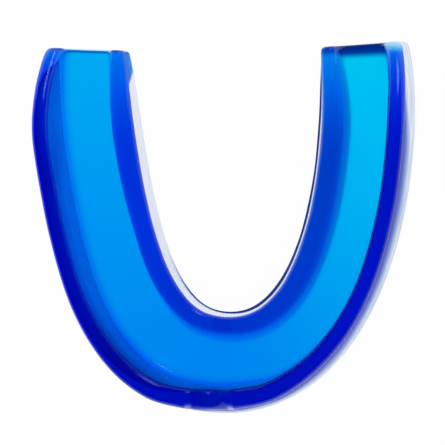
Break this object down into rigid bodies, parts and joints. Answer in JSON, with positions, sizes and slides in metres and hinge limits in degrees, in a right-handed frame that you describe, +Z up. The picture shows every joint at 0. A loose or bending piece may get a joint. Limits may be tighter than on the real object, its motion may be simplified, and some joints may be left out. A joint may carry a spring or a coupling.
{
  "type": "mouthguard",
  "caption": "U-shaped bite tray with an open channel for the upper teeth, a tall outer wall with a lip notch, a low inner wall and a flat underside",
  "frame": {"origin": "Centre of the tray's outline in plan, on the plane of its flat underside.", "axes": "+X to the right side of the arch across its width, +Z up out of the channel, -Y towards the front teeth."},
  "size_m": [0.0606, 0.0592, 0.0125],
  "materials": {
    "tray": "translucent blue EVA, smooth moulded surface"
  },
  "bodies": {
    "root": {"mouthguard": "tray"}
  },
  "joints": []
}
